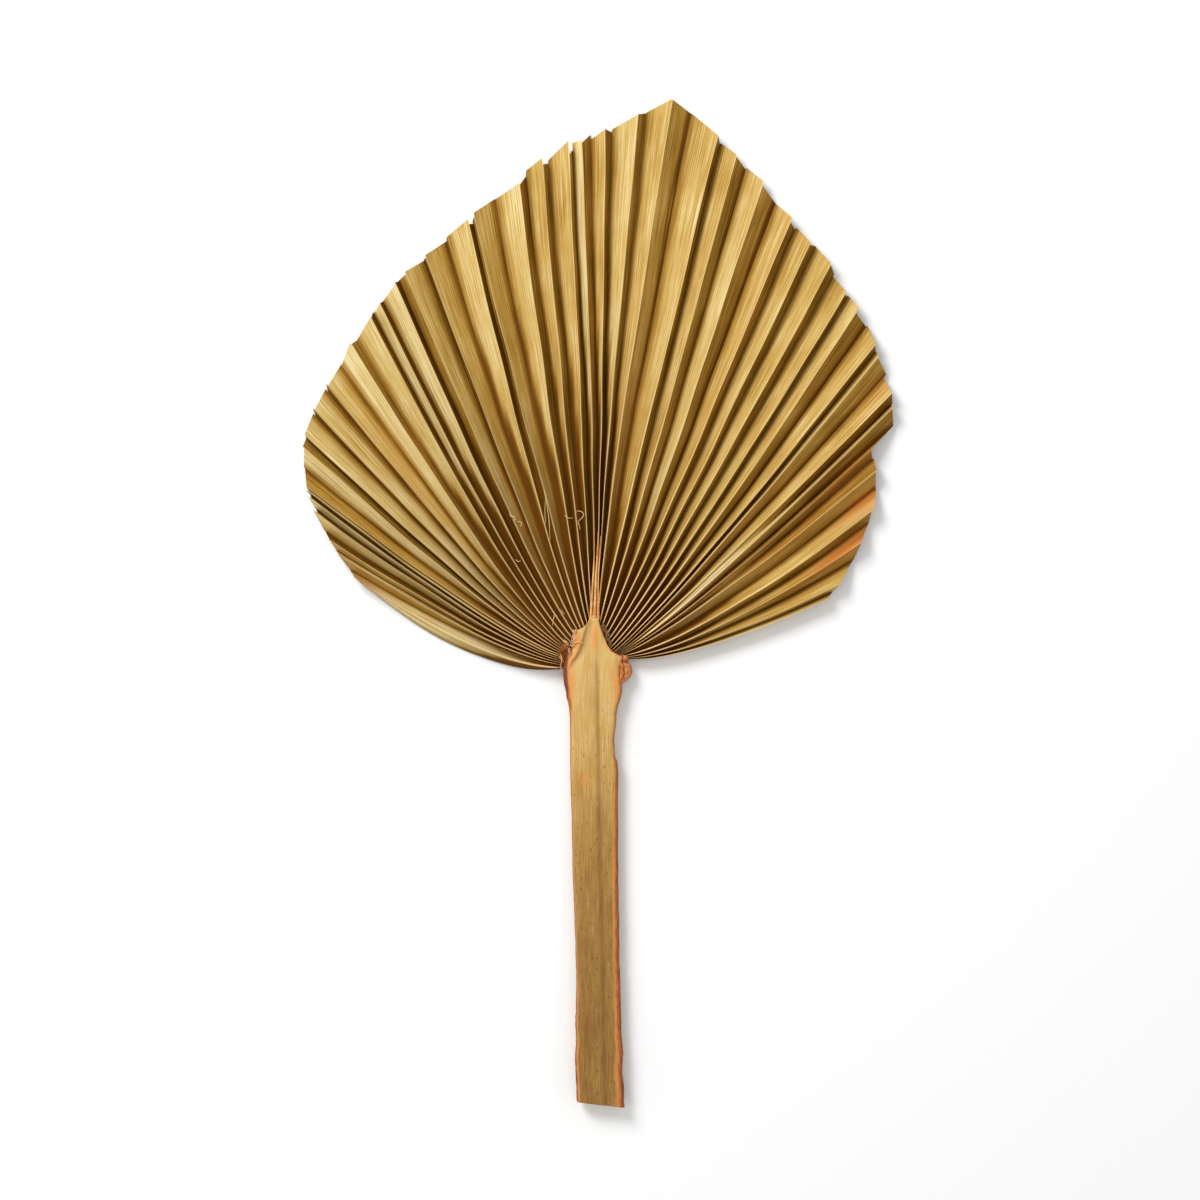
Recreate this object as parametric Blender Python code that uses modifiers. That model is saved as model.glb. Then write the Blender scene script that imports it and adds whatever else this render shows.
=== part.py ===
"""A dried fan palm leaf with its cut stalk, lying flat with its upper side to +Z.

The stalk points to -Y and the leaf's tip to +Y. The leaf grew as two kinds of tissue: a woody
stalk that widens into a head with a pointed tongue, and a thin blade pleated like a fan, whose
folds all start round that head. Plan shapes are laid out in millimetres about the fan's centre,
where the folds would meet, with angles in degrees from +Y, positive to the right.
"""

import math

import bmesh
import bpy

MM = 0.001
BLADE_THICKNESS = 0.5
PLEAT_DEPTH = 5.4
PLEAT_DEPTH_AT_HEAD = 1.6
RAMP_END = 0.2
FOLD_FLOOR = 0.45
HEAD_LIFT = 1.3
HEAD_LIFT_REACH = 40.0
RIM_CURL = 2.2
ROWS = 10
ROW_CROWDING = 1.3

# Each pleat is a rise that faces left and a fall that faces right, by their widths in degrees
# where they meet the trimmed rim, from the left margin round to the right one.
FIRST_ANGLE = -75.0
PLEATS = (
    # crowded left lobe
    (1.0, 1.0), (2.6, 0.7), (1.6, 1.1), (2.6, 0.5), (1.4, 0.5), (0.4, 0.3),
    # wide left side, most pleats pushed over to one side
    (0.3, 2.5), (2.8, 1.4), (0.3, 3.5), (0.6, 3.5), (0.7, 3.6), (3.2, 0.9),
    (3.9, 0.4), (1.7, 0.4), (3.0, 0.4), (1.3, 3.1), (0.4, 3.4), (3.6, 0.4), (0.4, 3.0),
    # narrow pleats beside the middle
    (3.4, 0.9), (2.2, 0.6), (2.6, 0.4), (1.1, 1.0), (1.6, 0.7),
    # tip
    (2.8, 0.8), (2.6, 2.1), (3.4, 0.4), (2.2, 1.4), (2.5, 2.2),
    # even right side
    (2.6, 0.9), (2.5, 0.8), (2.8, 1.0), (2.6, 0.4), (2.3, 2.3), (2.6, 0.7), (0.8, 2.6),
    # loose right lobe
    (2.5, 1.3), (0.4, 2.2), (1.1, 1.5), (2.2, 2.7), (3.2, 1.7), (3.0, 2.8), (4.2, 1.2), (1.6, 0.0),
)

# The rim's distance from the fan's centre by angle: up to the step in the right lobe, and past it.
RIM = (
    (-76, 118), (-70, 135.6), (-62, 160), (-54, 176.5), (-46, 184), (-38, 192.6), (-30, 203.2),
    (-22, 211.6), (-14, 224), (-6, 239.6), (2, 257.6), (7.8, 274.5), (14, 258.4), (22, 237.6),
    (30, 224.2), (38, 211.6), (46, 199), (54.6, 183),
)
RIM_PAST_STEP = ((54.7, 168.5), (62, 158.2), (66, 149), (70, 139), (74, 130), (79, 117), (82, 110))

# Where the folds leave the head, as (pleat, x, y), clockwise from the left shoulder over the apex.
ATTACH = (
    (0, -17.8, -11.4), (12, -17.8, -0.5), (14, -12.6, 1.2), (16, -10.4, 4.0), (18, -7.9, 7.9),
    (21.5, -3.0, 13.9), (23, 0.0, 16.3), (24.5, 3.0, 12.9), (28, 5.9, 5.9), (33, 8.4, -1.5),
    (36, 11.9, -5.0), (44, 16.8, -6.4),
)

# Each fold bends near the head and then runs nearly straight: (pleat, angle, distance) of the bend.
KNEE = (
    (0, -109, 58), (1, -104, 50), (3, -98, 45), (6, -91, 42), (12, -66, 42), (16, -46, 42),
    (20, -21, 42), (23, -2, 42), (26, 13, 42), (30, 38, 42), (34, 59, 42), (38, 75, 42),
    (41, 90, 42), (44, 105, 41.5),
)

# The stalk's stations, cut end first: (y, left edge, right edge, underside, top).
CUT_SLANT = 0.12
STALK = (
    (-226.7, -8.7, 15.1, 0.0, 9.6),
    (-209.0, -9.0, 14.4, 0.0, 9.3),
    (-186.0, -9.0, 13.4, 0.0, 9.0),
    (-168.0, -8.9, 12.9, 0.0, 8.8),
    (-144.0, -9.4, 12.4, 0.0, 8.7),
    (-121.0, -10.3, 12.1, 0.0, 8.6),
    (-97.0, -10.9, 11.9, 0.0, 8.6),
    (-73.0, -11.4, 11.9, 0.0, 8.6),
    (-57.0, -11.9, 11.4, 0.0, 8.7),
    (-49.0, -11.9, 10.4, 0.0, 8.8),
    (-37.0, -11.9, 10.5, 0.0, 8.9),
    (-31.0, -13.1, 11.9, 0.0, 9.0),
    (-25.0, -13.9, 13.6, 0.1, 9.1),
    (-19.2, -15.0, 15.2, 0.2, 9.2),
    (-16.8, -15.8, 18.4, 0.3, 9.2),
    (-13.5, -16.8, 18.6, 0.4, 9.2),
    (-11.0, -17.2, 17.4, 0.5, 9.2),
    (-7.4, -17.3, 16.4, 0.7, 9.2),
    (-5.8, -17.3, 11.4, 0.8, 9.1),
    (-2.4, -17.2, 8.0, 1.0, 9.0),
    (-1.4, -16.8, 7.5, 1.1, 9.0),
    (0.4, -12.2, 7.0, 1.3, 8.9),
    (3.6, -9.8, 6.0, 1.6, 8.6),
    (7.6, -7.2, 4.6, 2.0, 8.1),
    (13.2, -2.6, 2.2, 2.6, 7.3),
    (15.2, -0.5, 0.5, 3.0, 6.8),
)
# The upper side of a section: (place between centre 0 and edge 1 or -1, depth below the top).
STALK_UPPER = (
    (1.0, None), (0.94, 1.0), (0.78, 0.2), (0.52, 0.1), (0.22, 0.6), (0.05, 0.2),
    (-0.3, 0.0), (-0.65, 0.05), (-0.86, 0.4), (-0.96, 1.3), (-1.0, None),
)
EDGE_HEIGHT = 0.6
UNDERSIDE_POINTS = 9
UNDERSIDE_FULLNESS = 2.4


def between(rows, x):
    """The row at x, in a table whose rows start with x, on straight lines between its rows."""
    if x <= rows[0][0]:
        return rows[0][1:]
    for low, high in zip(rows, rows[1:]):
        if x <= high[0]:
            share = (x - low[0]) / (high[0] - low[0])
            return tuple(a + share * (b - a) for a, b in zip(low[1:], high[1:]))
    return rows[-1][1:]


def smooth(rows, x):
    """The value at x of the smooth curve through rows of (x, value)."""

    def slope(i):
        low = rows[max(i - 1, 0)]
        high = rows[min(i + 1, len(rows) - 1)]
        return (high[1] - low[1]) / (high[0] - low[0])

    x = min(max(x, rows[0][0]), rows[-1][0])
    i = next(i for i in range(len(rows) - 1) if x <= rows[i + 1][0])
    (x0, y0), (x1, y1) = rows[i], rows[i + 1]
    step = x1 - x0
    t = (x - x0) / step
    keep = 2 * t**3 - 3 * t**2 + 1
    return (
        keep * y0
        + (1 - keep) * y1
        + (t**3 - 2 * t**2 + t) * step * slope(i)
        + (t**3 - t**2) * step * slope(i + 1)
    )


def fan(angle, distance):
    """The plan point at an angle and a distance from the fan's centre."""
    return (
        distance * math.sin(math.radians(angle)),
        distance * math.cos(math.radians(angle)),
    )


def rim_distance(angle):
    return smooth(RIM if angle < RIM[-1][0] else RIM_PAST_STEP, angle)


def folds():
    """Every fold line as (pleat, rim angle, 1 on a crest or 0 in a valley)."""
    angle = FIRST_ANGLE
    lines = [(0.0, angle, 0)]
    for number, (rise, fall) in enumerate(PLEATS):
        angle += rise
        lines.append((number + 0.5, angle, 1))
        angle += fall
        if fall:
            lines.append((number + 1.0, angle, 0))
    return lines


def fold_point(pleat, angle, crest, t):
    """The point at t along a fold, from 0 at the head to 1 at the rim."""
    start = between(ATTACH, pleat)
    bend = fan(*between(KNEE, pleat))
    end = fan(angle, rim_distance(angle))
    x, y = (
        (1 - t) ** 2 * a + 2 * t * (1 - t) * b + t**2 * c
        for a, b, c in zip(start, bend, end)
    )
    ramp = min(t / RAMP_END, 1.0)
    depth = PLEAT_DEPTH_AT_HEAD + (PLEAT_DEPTH - PLEAT_DEPTH_AT_HEAD) * ramp * (2 - ramp)
    floor = FOLD_FLOOR + HEAD_LIFT * math.exp(-((math.hypot(x, y) / HEAD_LIFT_REACH) ** 2))
    curl = RIM_CURL * t**3 * (0.5 - 0.5 * math.cos(math.radians(3 * angle)))
    return x, y, floor + curl + crest * depth


def material(name, colour, roughness):
    made = bpy.data.materials.new(name)
    made.use_nodes = True
    shader = made.node_tree.nodes["Principled BSDF"]
    shader.inputs["Base Color"].default_value = (*colour, 1.0)
    shader.inputs["Roughness"].default_value = roughness
    shader.inputs["Metallic"].default_value = 0.0
    return made


def add(name, mesh, finish, collection):
    mesh.materials.append(finish)
    made = bpy.data.objects.new(name, mesh)
    collection.objects.link(made)
    return made


def pleated_blade(collection):
    """The blade: an open sheet through the fold lines, then given its thickness."""
    build = bmesh.new()
    columns = []
    for fold in folds():
        steps = (((row / (ROWS - 1)) ** ROW_CROWDING) for row in range(ROWS))
        points = (fold_point(*fold, t) for t in steps)
        columns.append([build.verts.new([v * MM for v in point]) for point in points])
    for left, right in zip(columns, columns[1:]):
        for row in range(ROWS - 1):
            build.faces.new((left[row], right[row], right[row + 1], left[row + 1]))
    mesh = bpy.data.meshes.new("blade")
    build.to_mesh(mesh)
    build.free()
    finish = material("straw gold leaf", (0.42, 0.27, 0.085), 0.55)
    made = add("blade", mesh, finish, collection)
    shell = made.modifiers.new("thickness", "SOLIDIFY")
    shell.thickness = BLADE_THICKNESS * MM
    shell.offset = 0.0
    return made


def stalk_section(left, right, under, top):
    """One section of the stalk as (x, z) points, anticlockwise as seen from the cut end."""
    centre = (left + right) / 2
    half = (right - left) / 2
    edge = under + EDGE_HEIGHT * (top - under)
    points = []
    for place, drop in STALK_UPPER:
        fall = 0.0 if drop is None else drop * min(1.0, (top - edge) / 3.4)
        points.append((centre + half * place, edge if drop is None else top - fall))
    for step in range(1, UNDERSIDE_POINTS + 1):
        place = -math.cos(math.pi * step / (UNDERSIDE_POINTS + 1))
        depth = (1 - abs(place) ** UNDERSIDE_FULLNESS) ** (1 / UNDERSIDE_FULLNESS)
        points.append((centre + half * place, edge - (edge - under) * depth))
    return points


def stalk(collection):
    """The stalk: a loft from the cut end through the head to the tongue's apex."""
    build = bmesh.new()
    rings = []
    for y, *section in STALK:
        slant = CUT_SLANT if y == STALK[0][0] else 0.0
        ring = [
            build.verts.new((x * MM, (y - slant * x) * MM, z * MM))
            for x, z in stalk_section(*section)
        ]
        rings.append(ring)
    count = len(rings[0])
    for near, far in zip(rings, rings[1:]):
        for i in range(count):
            j = (i + 1) % count
            build.faces.new((near[i], near[j], far[j], far[i]))
    build.faces.new(rings[0])
    build.faces.new(rings[-1])
    bmesh.ops.recalc_face_normals(build, faces=build.faces)
    mesh = bpy.data.meshes.new("stalk")
    build.to_mesh(mesh)
    build.free()
    finish = material("olive straw stalk", (0.40, 0.25, 0.075), 0.5)
    return add("stalk", mesh, finish, collection)


def centre_in_plan(objects):
    """Moves the objects together so that their common box is centred on X and Y."""
    bpy.context.view_layer.update()
    graph = bpy.context.evaluated_depsgraph_get()
    corners = [
        made.matrix_world @ vertex.co
        for made in objects
        for vertex in made.evaluated_get(graph).data.vertices
    ]
    for axis in (0, 1):
        values = [corner[axis] for corner in corners]
        middle = (min(values) + max(values)) / 2
        for made in objects:
            made.location[axis] -= middle


for old in list(bpy.data.objects):
    bpy.data.objects.remove(old)

leaf = bpy.data.collections.new("fan palm leaf")
bpy.context.scene.collection.children.link(leaf)
pieces = [pleated_blade(leaf), stalk(leaf)]
centre_in_plan(pieces)
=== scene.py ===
import math
import random
from collections import namedtuple

import bpy
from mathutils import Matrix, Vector, noise


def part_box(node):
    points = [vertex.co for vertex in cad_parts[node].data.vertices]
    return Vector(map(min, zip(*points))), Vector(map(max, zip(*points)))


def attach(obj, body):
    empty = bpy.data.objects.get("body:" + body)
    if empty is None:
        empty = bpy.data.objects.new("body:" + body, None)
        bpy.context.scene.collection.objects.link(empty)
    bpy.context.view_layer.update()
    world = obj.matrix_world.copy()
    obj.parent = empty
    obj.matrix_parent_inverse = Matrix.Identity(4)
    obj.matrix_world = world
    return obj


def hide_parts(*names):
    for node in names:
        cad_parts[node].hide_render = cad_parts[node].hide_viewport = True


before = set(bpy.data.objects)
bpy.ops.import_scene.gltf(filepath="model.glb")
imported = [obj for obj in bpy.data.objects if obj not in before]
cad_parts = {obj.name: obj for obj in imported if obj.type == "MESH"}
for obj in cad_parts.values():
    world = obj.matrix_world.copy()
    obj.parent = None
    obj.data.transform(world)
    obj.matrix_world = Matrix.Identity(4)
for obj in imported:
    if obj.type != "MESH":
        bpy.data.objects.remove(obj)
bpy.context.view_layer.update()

# The blade is one sheet of dried leaf tissue, folded like a paper fan. Its folds are stiff ribs
# that all start in the stalk's head, and its outer rim was cut with a knife when it was dry. It is
# made as an upper and a lower skin over the same fold lines, closed round the edge.

MM = 0.001
STALK_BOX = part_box("stalk")
# The fan's centre, where the folds would meet: distances below are millimetres about it, and
# angles are degrees from the leaf's length, positive to the right.
HUB_X = STALK_BOX[1].x - 18.6 * MM
HUB_Y = STALK_BOX[1].y - 15.2 * MM

# The angle at which the blade's left margin ends.
FIRST_ANGLE = -75.0
# Each pleat as the widths of its rise and its fall at the rim, in degrees, and how pale each is
# painted, from 0 brown to 10 cream, from the left margin round to the right one. The tones are
# partly the tissue's own uneven colour and partly painted light and shade: panels that face away
# from the light, and narrow walls in shade, are given browner tones.
PLEATS = (
    # crowded left lobe
    (1.0, 1.0, 9, 9), (2.6, 0.7, 6, 9), (1.6, 1.1, 7, 1), (2.6, 0.5, 8, 1), (1.4, 0.5, 9, 0),
    (0.4, 0.3, 3, 10),
    # wide left side, most pleats pushed over to one side
    (0.3, 2.5, 4, 5), (2.8, 1.4, 9, 4), (0.3, 3.5, 1, 8), (0.6, 3.5, 1, 8), (0.7, 3.6, 2, 7),
    (3.2, 0.9, 9, 4), (3.7, 0.6, 8, 1), (1.5, 0.6, 9, 0), (2.8, 0.6, 9, 0), (1.3, 3.1, 4, 7),
    (0.4, 3.4, 0, 6), (3.5, 0.5, 8, 0), (0.4, 3.0, 3, 6),
    # narrow pleats beside the middle
    (3.4, 0.9, 8, 3), (2.2, 0.6, 7, 4), (2.6, 0.4, 7, 4), (1.1, 1.0, 9, 4), (1.6, 0.7, 7, 3),
    # tip
    (2.8, 0.8, 8, 4), (2.6, 2.1, 7, 5), (3.4, 0.4, 7, 3), (2.2, 1.4, 7, 4), (2.5, 2.2, 8, 4),
    # even right side
    (2.6, 0.9, 7, 3), (2.5, 0.8, 7, 3), (2.8, 1.0, 7, 3), (2.6, 0.4, 7, 3), (2.3, 2.3, 7, 4),
    (2.6, 0.7, 7, 3), (0.8, 2.6, 7, 5),
    # loose right lobe
    (2.5, 1.3, 7, 2), (0.4, 2.2, 7, 4), (1.1, 1.5, 4, 4), (2.2, 2.7, 4, 5), (3.2, 1.7, 7, 4),
    (3.0, 2.8, 6, 5), (4.2, 1.2, 6, 8), (1.6, 0.0, 7, 6),
)
# The cut rim, as (angle, distance): up to the step in its right side, and from there on.
RIM = (
    (-76, 118), (-70, 135.6), (-62, 160), (-54, 176.5), (-46, 184), (-38, 192.6), (-30, 203.2),
    (-22, 211.6), (-14, 224), (-6, 239.6), (2, 257.6), (4.7, 263.5), (6.4, 269), (7.9, 274.5),
    (10.5, 268), (14, 258.8), (22, 237.6), (30, 224.2), (38, 211.6), (46, 199), (54.6, 183),
)
RIM_PAST_STEP = (
    (54.7, 168.5), (62, 158.2), (66, 149), (70, 139), (74, 130), (79, 117), (82, 110),
)
# Where the folds leave the head, as (pleat, x, y), clockwise from the left shoulder over the apex.
# A pleat is told by its number, which is whole in its valleys and ends in a half on its crest.
ATTACH = (
    (0, -17.8, -11.4), (12, -17.8, -0.5), (14, -12.6, 1.2), (15.5, -9.8, 3.3), (16.5, -9.1, 6.6),
    (17.5, -6.9, 7.4), (18.5, -4.9, 8.7), (19.5, -3.6, 11.1), (20.5, -2.4, 13.6),
    (22.5, -0.4, 15.0), (24.5, 1.2, 14.6), (25.5, 2.2, 12.6), (26.5, 3.3, 12.4), (27.5, 4.6, 10.6),
    (28.5, 5.8, 8.0), (30.5, 7.2, 2.4), (32.5, 8.6, -1.6), (34.5, 10.8, -4.1), (36, 11.9, -5.0),
    (44, 16.8, -6.4),
)
# Each fold bends near the head and then runs nearly straight: (pleat, angle, distance) of the bend.
KNEE = (
    (0, -109, 58), (1, -99, 48), (3, -96, 44), (6, -90, 42), (10.5, -73, 41), (12.5, -60, 45),
    (13.5, -57, 42), (14.5, -51, 43), (15.5, -43, 45), (16.5, -38, 40), (17.5, -31, 44),
    (18.5, -25, 37), (19.5, -18, 40), (20.5, -12, 41), (21.5, -4, 45), (22.5, 1.5, 62),
    (23.5, 3.8, 64), (24.5, 2.8, 50), (25.5, 3.5, 44), (26.5, 14, 46), (27.5, 22, 43),
    (28.5, 32, 38), (29.5, 38, 38), (30.5, 48, 33), (32.5, 59, 35), (33.5, 62, 39),
    (35.5, 68, 40), (37.5, 74, 45), (39.5, 81.5, 44), (40.5, 92, 47), (41.5, 98, 46),
    (42.5, 102, 43), (44, 106, 44),
)
# The folds start inside the head, so that no gap shows: drawn in from its sides by this share, and
# back under its tongue by these millimetres.
TUCK_IN = 0.22
TUCK_UNDER = 2.2
# How far a fold sways to either side of its line.
WOBBLE = 0.4

# The sheet's valleys lie this high, and its crests stand this much higher, less so at the head.
VALLEY_TOP = 0.7
DEPTH = 5.7
DEPTH_AT_HEAD = 3.6
FULL_DEPTH_FROM = 0.16
# The sheet is lifted a little round the head, and its sides curl up towards the rim.
HEAD_LIFT = 1.3
HEAD_LIFT_REACH = 40.0
RIM_CURL = 1.9
# A valley narrower than this, in degrees at the rim, doesn't reach all the way down.
FULL_VALLEY = 1.5
# Thickness of the tissue in a valley, and how much more it is on a crest.
SKIN = 0.42
CREST_EXTRA = 0.3
# A rib stands along every crest: half its width and its height, at the head and at the rim.
RIB_HALF_WIDTH = (0.48, 0.3)
RIB_HEIGHT = (0.3, 0.12)
# How far a wall stays close to its rib before it opens into a flat panel: at the head, at the rim.
WALL_HUG = (2.4, 1.0)
# Where on its way out a rise begins to open from a bare rib, and where it is a full pale panel, as
# (pleat, share, share). Below that its foot is painted shade, as brown as the valley, standing for
# the shadow of the crest before it.
OPENING = (
    (0, 0.2, 0.6), (11.5, 0.22, 0.6), (12.5, 0.34, 0.84), (20, 0.36, 0.9), (25, 0.38, 0.85),
    (26.5, 0.2, 0.5), (35.5, 0.2, 0.58), (37, 0.25, 0.7), (40, 0.3, 0.75), (44, 0.1, 0.4),
)
# The painted shade's tone on the foot of a rise.
SHADED_FOOT_TONE = 0.14
NARROWEST_COVER = 0.08
# Panels are bowed by a share of their depth, between these two, and buckle by this height.
BOW = (-0.05, 0.14)
BUCKLE = 0.16
# How far past the rim the knife left a panel's crest side and its valley side, and how far the
# crest of a rise sticks out besides: each between a least and a most.
CUT_AT_CREST = (-1.3, 0.4)
CUT_AT_VALLEY = (-1.1, 0.5)
STICK_OUT = (0.2, 0.8)
USUAL_RIM = 200.0
# Raggedness of the clean rim, and the pleats where it is torn: (first, last, depth of the tears).
RAG = 0.25
TORN_RIM = ((17.5, 24.2, 2.2), (0.6, 4.0, 1.6), (43.0, 44.0, 1.5))

# How much browner a falling panel gets towards its valley, which lies in the next fold's shade,
# and over what widths of panel that sets in.
VALLEY_SHADE = 0.5
SHADED_WIDTHS = (3.0, 9.0)
# How much painted light lifts a falling panel's tone towards the head, where falls face away from
# the light: in general, in the right lobe; and the pleats over which that lobe begins.
FALL_PAINTED_LIGHT = (0.14, 0.36)
RIGHT_LOBE = (36.4, 38.0)
# Orange and red-brown stains on the blade: (pleat, share of the way out, spread in pleats,
# spread along, strength).
STAINS = (
    (41.35, 0.95, 0.4, 0.16, 1.0), (40.1, 0.97, 0.3, 0.09, 0.8), (38.6, 0.93, 0.5, 0.12, 0.6),
    (38.45, 0.42, 0.32, 0.15, 1.0), (38.3, 0.24, 0.3, 0.1, 0.8), (39.4, 0.75, 0.5, 0.2, 0.35),
    (0.5, 0.99, 0.5, 0.1, 0.9), (20.6, 0.45, 0.25, 0.12, 0.5), (23.0, 0.2, 0.8, 0.13, 0.7),
    (22.6, 0.9, 0.3, 0.1, 0.35), (35.7, 0.6, 0.3, 0.2, 0.35), (10.5, 0.8, 0.8, 0.12, 0.25),
    (25.5, 0.5, 0.3, 0.15, 0.35), (36.2, 0.97, 0.3, 0.06, 0.4), (29.6, 0.8, 0.4, 0.2, 0.25),
)
# Where a pleat has been pressed flat and turned up to the light, given as the stains are.
LIFTED = (
    (37.4, 0.2, 0.6, 0.09, 0.85), (37.3, 0.34, 0.75, 0.11, 0.95), (37.1, 0.48, 0.62, 0.1, 0.9),
    (37.0, 0.62, 0.45, 0.1, 0.6), (39.0, 0.5, 0.25, 0.12, 0.7),
)
LIFTED_TONE = 0.95

# The sheet's mesh: rows across the folds, closer together near the head, and columns along them.
# Columns 0 to 3 run from the rib's middle to its edge, and the rest from there to the valley.
ROWS = 66
ROW_CROWDING = 1.25
RIB_COLUMNS = (0.0, 0.4, 0.75, 1.0)
PANEL_COLUMNS = (0.04, 0.35, 0.66, 0.96, 1.0)
VALLEY_COLUMN = len(RIB_COLUMNS) + len(PANEL_COLUMNS) - 1
RIB_FADE = 3.5

# A fold's start, bend and end in plan, the angle of its end, and its number in pleats.
Fold = namedtuple("Fold", "start bend end angle pleat")
# One side of a pleat. Its tones run from 0 brown to 1 cream, on its crest's rib and on the panel,
# partly its own colour and partly painted light and shade, and sunk is how much of the full depth
# its valley reaches.
Panel = namedtuple("Panel", "crest valley rises crest_tone tone sunk")


def between(rows, x):
    """The row at x, in a table whose rows start with x, on straight lines between its rows."""
    if x <= rows[0][0]:
        return rows[0][1:]
    for low, high in zip(rows, rows[1:]):
        if x <= high[0]:
            share = (x - low[0]) / (high[0] - low[0])
            return tuple(a + share * (b - a) for a, b in zip(low[1:], high[1:]))
    return rows[-1][1:]


def smooth(rows, x):
    """The value at x of the smooth curve through rows of (x, value)."""

    def slope(i):
        low = rows[max(i - 1, 0)]
        high = rows[min(i + 1, len(rows) - 1)]
        return (high[1] - low[1]) / (high[0] - low[0])

    x = min(max(x, rows[0][0]), rows[-1][0])
    i = next(i for i in range(len(rows) - 1) if x <= rows[i + 1][0])
    (x0, y0), (x1, y1) = rows[i], rows[i + 1]
    step = x1 - x0
    t = (x - x0) / step
    keep = 2 * t**3 - 3 * t**2 + 1
    return (
        keep * y0
        + (1 - keep) * y1
        + (t**3 - 2 * t**2 + t) * step * slope(i)
        + (t**3 - t**2) * step * slope(i + 1)
    )


def ease(x, low, high):
    """0 below low, 1 above high, and a smooth step between them."""
    t = min(max((x - low) / (high - low), 0.0), 1.0)
    return t * t * (3 - 2 * t)


def blend(pair, share):
    """The number that lies a share of the way from the first of a pair to the second."""
    return pair[0] + (pair[1] - pair[0]) * share


def wander(x, y=0.0, seed=0.0):
    """Smooth noise from about -1 to 1."""
    return noise.noise(Vector((x, y, seed + 0.37))) * 1.6


def fan(angle, distance):
    """The plan point at an angle and a distance from the fan's centre."""
    return (
        distance * math.sin(math.radians(angle)),
        distance * math.cos(math.radians(angle)),
    )


def placed(x, y, z):
    """A point given in millimetres about the fan's centre, in the leaf's own frame."""
    return (HUB_X + x * MM, HUB_Y + y * MM, z * MM)


def fold_line(pleat, angle):
    """The fold with this number that ends at this angle."""
    x, y = between(ATTACH, pleat)
    start = (x * (1 - TUCK_IN), y - TUCK_UNDER * ease(abs(x), 14, 3))
    rim = smooth(RIM if angle < RIM[-1][0] else RIM_PAST_STEP, angle)
    return Fold(start, fan(*between(KNEE, pleat)), fan(angle, rim), angle, pleat)


def along_fold(fold, t):
    """The plan point at t along a fold, from 0 at the head to 1 at the rim."""
    x, y = (
        (1 - t) ** 2 * a + 2 * t * (1 - t) * b + t**2 * c
        for a, b, c in zip(fold.start, fold.bend, fold.end)
    )
    sway = WOBBLE * ease(t, 0.15, 0.5) * wander(fold.pleat * 0.33, math.hypot(x, y) / 38, 2.0)
    turn = math.radians(fold.angle)
    return x + sway * math.cos(turn), y - sway * math.sin(turn)


def spots(table, x, y):
    """How much the soft spots of a table, as (x, y, spread in x, spread in y, strength), cover."""
    found = 0.0
    for at_x, at_y, wide, long, strength in table:
        gap = ((x - at_x) / wide) ** 2 + ((y - at_y) / long) ** 2
        if gap < 8:
            found += strength * math.exp(-gap)
    return min(found, 1.0)


def panels():
    """Every panel of the blade, from the left margin round to the right one."""
    angle = FIRST_ANGLE
    valley = fold_line(0.0, angle)
    found = []
    sunk = 1.0
    for number, (rise, fall, rise_tone, fall_tone) in enumerate(PLEATS):
        angle += rise
        crest = fold_line(number + 0.5, angle)
        found.append(Panel(crest, valley, True, rise_tone / 10, rise_tone / 10, sunk))
        if fall:
            angle += fall
            valley = fold_line(number + 1.0, angle)
            sunk = min(1.0, (fall + PLEATS[number + 1][0]) / FULL_VALLEY)
            found.append(Panel(crest, valley, False, rise_tone / 10, fall_tone / 10, sunk))
    return found


def piece(name, points, faces, finish, corner=50, carried=()):
    """A finished piece of the leaf: a mesh, smooth but for corners sharper than an angle. Its
    points may carry named numbers for its material, one set for each point."""
    mesh = bpy.data.meshes.new(name)
    mesh.from_pydata(points, [], faces)
    for key in carried[0] if carried else ():
        numbers = [point[key] for point in carried]
        mesh.attributes.new(key, "FLOAT", "POINT").data.foreach_set("value", numbers)
    mesh.polygons.foreach_set("use_smooth", [True] * len(mesh.polygons))
    mesh.set_sharp_from_angle(angle=math.radians(corner))
    mesh.materials.append(finish)
    made = bpy.data.objects.new(name, mesh)
    bpy.context.scene.collection.objects.link(made)
    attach(made, "root")
    return made


def skin_faces(columns, rows):
    """Faces of a closed sheet: an upper grid of columns by rows, then a lower one the same."""
    lower = columns * rows
    faces = []
    for c in range(columns - 1):
        for r in range(rows - 1):
            a, b = c * rows + r, (c + 1) * rows + r
            faces.append((a, b, b + 1, a + 1))
            faces.append((a + lower, a + 1 + lower, b + 1 + lower, b + lower))
    for c in range(columns - 1):
        a, b = c * rows, (c + 1) * rows
        faces.append((a, a + lower, b + lower, b))
        a, b = a + rows - 1, b + rows - 1
        faces.append((a, b, b + lower, a + lower))
    for r in range(rows - 1):
        faces.append((r, r + 1, r + 1 + lower, r + lower))
        a = (columns - 1) * rows + r
        faces.append((a, a + lower, a + 1 + lower, a + 1))
    return faces


class Number:
    """A shader socket that sums can be written with: each sum adds its Math node."""

    def __init__(self, finish, socket):
        self.finish = finish
        self.socket = socket

    def _sum(self, operation, first, second):
        return self.finish.node("ShaderNodeMath", {"operation": operation}, {0: first, 1: second})

    def __add__(self, other):
        return self._sum("ADD", self, other)

    def __radd__(self, other):
        return self._sum("ADD", other, self)

    def __sub__(self, other):
        return self._sum("SUBTRACT", self, other)

    def __rsub__(self, other):
        return self._sum("SUBTRACT", other, self)

    def __mul__(self, other):
        return self._sum("MULTIPLY", self, other)

    def __rmul__(self, other):
        return self._sum("MULTIPLY", other, self)


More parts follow.
